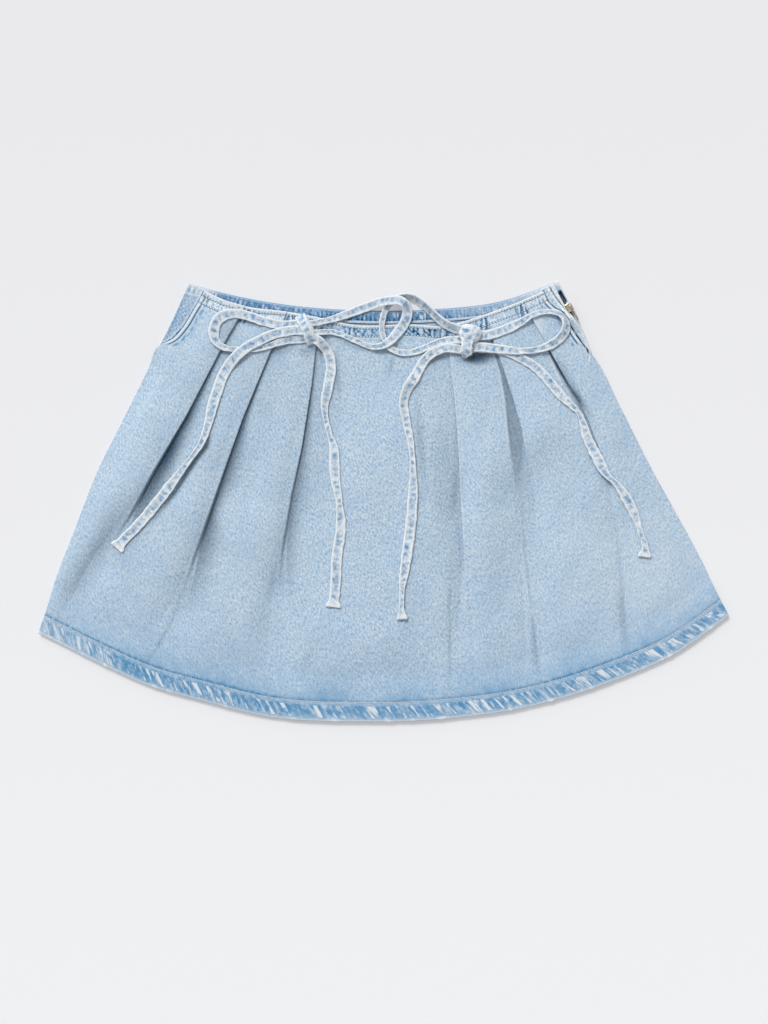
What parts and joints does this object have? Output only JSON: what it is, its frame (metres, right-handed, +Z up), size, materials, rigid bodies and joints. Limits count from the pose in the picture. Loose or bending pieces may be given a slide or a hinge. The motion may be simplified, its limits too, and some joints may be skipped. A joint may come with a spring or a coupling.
{
  "type": "denim mini skirt, laid flat",
  "caption": "Flat-laid light-wash denim mini skirt with knife pleats in front, slanted pocket edges, a side zip and two tied bows at the low waist.",
  "frame": {"origin": "centre of the laid skirt's extent, on the surface that it lies on", "axes": "+X to the right across the front, +Y towards the waist, +Z up from the surface out of the front"},
  "size_m": [0.6882, 0.4395, 0.0211],
  "materials": {
    "denim": "light-wash blue denim twill, matt, mottled, with pale slubs and abraded edges",
    "denim_inside": "denim of the inside and back, a little darker, matt",
    "denim_hip": "light-wash denim of the hip pieces, mottled, matt",
    "denim_tie": "narrow folded denim ties, whitened at their edges, matt",
    "zip_tape": "dark woven zip tape",
    "brass": "antique brass, satin"
  },
  "bodies": {
    "skirt": {"back_panel": "denim_inside", "back_waist_facing": "denim_inside", "back_hem_turn": "denim_inside", "front_hem_turn": "denim_inside", "front_panel": "denim", "hip_piece_left": "denim_hip", "hip_piece_right": "denim_hip", "zip_chain": "zip_tape", "zip_slider": "brass", "bow_left_knot": "denim_tie", "bow_left_loop_inner": "denim_tie", "bow_left_loop_outer": "denim_tie", "bow_left_tail_inner": "denim_tie", "bow_left_tail_outer": "denim_tie", "bow_right_knot": "denim_tie", "bow_right_loop_inner": "denim_tie", "bow_right_loop_outer": "denim_tie", "bow_right_tail_inner": "denim_tie", "bow_right_tail_outer": "denim_tie"},
    "zip_pull": {"zip_pull_tab": "brass"}
  },
  "joints": [
    {"name": "zip_pull_swing", "type": "hinge", "parent": "skirt", "child": "zip_pull", "pos_m": [0.18694, 0.1937, 0.0044], "axis": [0, 0, 1], "range_deg": [0, 170]}
  ]
}
